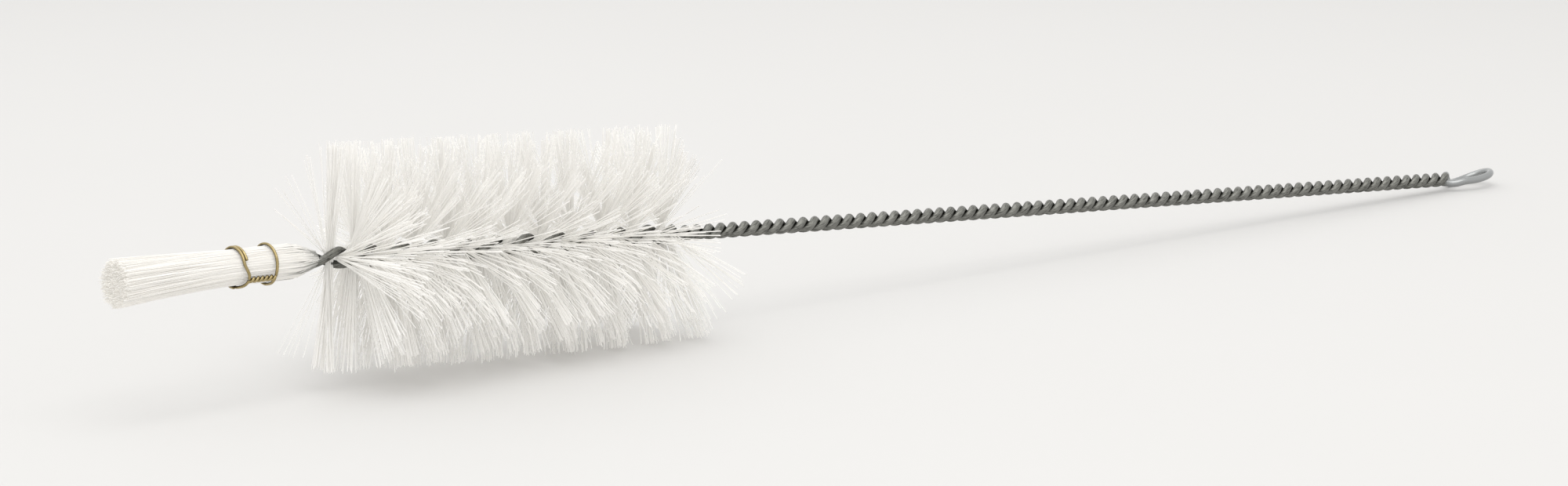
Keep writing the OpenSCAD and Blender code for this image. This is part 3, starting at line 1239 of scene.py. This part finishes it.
@dataclass(frozen=True)
class SoftLight:
    """A soft rectangular light: its spot and size in metres, and its power in watts."""

    name: str
    spot: Triple
    size: Pair
    power: float
    tint: Triple
    shadow: bool = True


# The two fills cast no shadow, so that they light the inside of the head and the shadow on
# the floor as evenly as a white room does.
LIGHTS = (
    SoftLight("overhead_softbox", (-0.30, -0.50, 1.25), (1.3, 1.1), 6.0, (1.0, 0.99, 0.97)),
    SoftLight("top_fill", (-0.10, 0.30, 1.50), (1.5, 1.5), 5.8, (1.0, 0.995, 0.985), False),
    SoftLight("low_front_fill", (-0.75, -0.85, 0.20), (1.6, 0.5), 0.75, (1.0, 0.995, 0.985),
              False),
    SoftLight("rear_softbox", (0.3, 1.1, 0.9), (1.2, 0.5), 0.8, (0.97, 0.98, 1.0)),
)


@dataclass
class Studio:
    """The pale floor, the soft lights and the camera."""

    layout: Layout
    heading: float = 40.63
    pitch: float = 11.45
    lens: float = 135.0
    sensor: float = 36.0
    ahead: float = 1.6660
    right: float = 0.1877
    above: float = 0.0181
    clip: Pair = (0.05, 60.0)
    floor_size: float = 12.0
    floor_dark: Triple = (0.595, 0.590, 0.582)
    floor_pale: Triple = (0.610, 0.605, 0.598)
    floor_mottle: Triple = (3.0, 11.0, 1.0)
    # Painted falloff of the light: the floor darkens outward between these distances.
    falloff_start: float = 0.30
    falloff_end: float = 0.95
    falloff_tone: float = 0.90
    sky_tint: Triple = (1.0, 0.995, 0.985)
    sky_strength: float = 1.03
    light_bounces: int = 10

    def basis(self) -> tuple[Array, Array, Array]:
        """The camera's right, up and forward directions."""
        psi, e = math.radians(self.heading), math.radians(self.pitch)
        right = np.array([math.cos(psi), -math.sin(psi), 0.0])
        level = np.array([math.sin(psi), math.cos(psi), 0.0])
        up = np.array([math.sin(e) * level[0], math.sin(e) * level[1], math.cos(e)])
        forward = np.array([math.cos(e) * level[0], math.cos(e) * level[1], -math.sin(e)])
        return right, up, forward

    def add_camera(self) -> Piece:
        """Stands the camera off from the end of the twist, looking down at the brush."""
        right, up, forward = self.basis()
        end = self.layout.place(np.zeros(3))
        spot = end - self.right * right - self.above * up - self.ahead * forward
        data = bpy.data.cameras.new("camera")
        data.lens = self.lens
        data.sensor_width = self.sensor
        data.clip_start, data.clip_end = self.clip
        camera = bpy.data.objects.new("camera", data)
        turn = Matrix((right, up, -forward)).transposed().to_4x4()
        camera.matrix_world = Matrix.Translation(spot) @ turn
        bpy.context.scene.collection.objects.link(camera)
        bpy.context.scene.camera = camera
        return camera

    def add_light(self, light: SoftLight) -> Piece:
        """Adds a light at its spot, aimed at the near end of the head."""
        data = bpy.data.lights.new(light.name, "AREA")
        data.shape = "RECTANGLE"
        data.size, data.size_y = light.size
        data.energy = light.power
        data.color = light.tint
        data.use_shadow = light.shadow
        lamp = bpy.data.objects.new(light.name, data)
        target = self.layout.place(np.array([-self.layout.head_start, 0.0, 0.0]))
        back = unit(np.array(light.spot) - target)
        side = unit(np.cross([0.0, 1.0, 0.001], back))
        up = np.cross(back, side)
        turn = Matrix((side, up, back)).transposed().to_4x4()
        lamp.matrix_world = Matrix.Translation(light.spot) @ turn
        bpy.context.scene.collection.objects.link(lamp)
        return lamp

    def add_floor(self) -> Piece:
        """A wide plain floor, finely uneven in tone, at the height the brush stands on.

        The mottle mixes its two tones, and both darken a little with the smooth step of the
        distance from the middle of the frame, as a painted falloff of the light.
        """
        half = self.floor_size / 2
        corners = np.array([[-half, -half, 0], [half, -half, 0], [half, half, 0], [-half, half, 0]])
        floor = build_mesh("floor", corners, [np.array([[0, 1, 2, 3]])])
        mat, tree, shader = new_material("pale_floor")
        set_inputs(shader, {"Roughness": 0.75, "Specular IOR Level": 0.2})
        mottle = mottle_node(tree, self.floor_mottle)
        colour = colour_mix(tree, self.floor_dark, self.floor_pale)
        coords = tree.nodes.new("ShaderNodeTexCoord")
        reach = add_node(tree, "ShaderNodeVectorMath", operation="LENGTH")
        # Painted falloff of the light, darker away from the middle.
        edge = add_node(tree, "ShaderNodeMapRange",
                        {"From Min": self.falloff_start, "From Max": self.falloff_end,
                         "To Min": 1.0, "To Max": self.falloff_tone}, interpolation_type="SMOOTHSTEP")
        toned = add_node(tree, "ShaderNodeVectorMath", operation="SCALE")
        join(tree, (mottle, "Mask", colour, "Factor"), (coords, "Object", reach, 0),
             (reach, "Value", edge, "Value"), (colour, MIX_RESULT, toned, 0),
             (edge, "Result", toned, "Scale"), (toned, "Vector", shader, "Base Color"))
        floor.data.materials.append(mat)
        return floor

    def add_sky(self) -> None:
        """Even pale light from all round."""
        world = bpy.data.worlds.new("soft_room")
        world.use_nodes = True
        set_inputs(world.node_tree.nodes["Background"],
                   {"Color": (*self.sky_tint, 1.0), "Strength": self.sky_strength})
        bpy.context.scene.world = world

    def build(self) -> None:
        """Builds the whole stage, and lets light go on bouncing inside the pale head."""
        self.add_floor()
        self.add_sky()
        for light in LIGHTS:
            self.add_light(light)
        self.add_camera()
        bpy.context.scene.view_settings.view_transform = "Standard"
        bpy.context.scene.cycles.diffuse_bounces = self.light_bounces


# ---- the brush


@dataclass
class BottleBrush:
    """The whole brush, made of its wire, its head, its tuft and its tie."""

    layout: Layout
    wire: StemWire = field(init=False)
    head: BristleHead = field(init=False)
    tuft: TipTuft = field(init=False)
    tie: TieWire = field(init=False)

    def __post_init__(self) -> None:
        """Makes the sub-assemblies from the one layout."""
        self.wire = StemWire(self.layout)
        self.head = BristleHead(self.layout)
        self.tuft = TipTuft(self.layout)
        self.tie = TieWire(self.layout, self.tuft)

    def build(self) -> None:
        """Builds and dresses every piece."""
        dress(self.wire.build(), GALVANISED.material(), "stem_wire")
        head_nylon = HEAD_NYLON.material()
        for piece in self.head.build():
            dress(piece, head_nylon, "head_bristles")
        dress(self.tuft.build(), TUFT_NYLON.material(), "tip_tuft")
        dress(self.tie.build(), BRASS.material(), "tie_wire")


def main() -> None:
    logging.basicConfig(level=logging.INFO, format="%(name)s: %(message)s")
    layout = Layout(eye_tip_x=CAD_BOX[1][0])
    Studio(layout).build()
    BottleBrush(layout).build()
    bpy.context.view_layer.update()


if __name__ == "__main__":
    main()
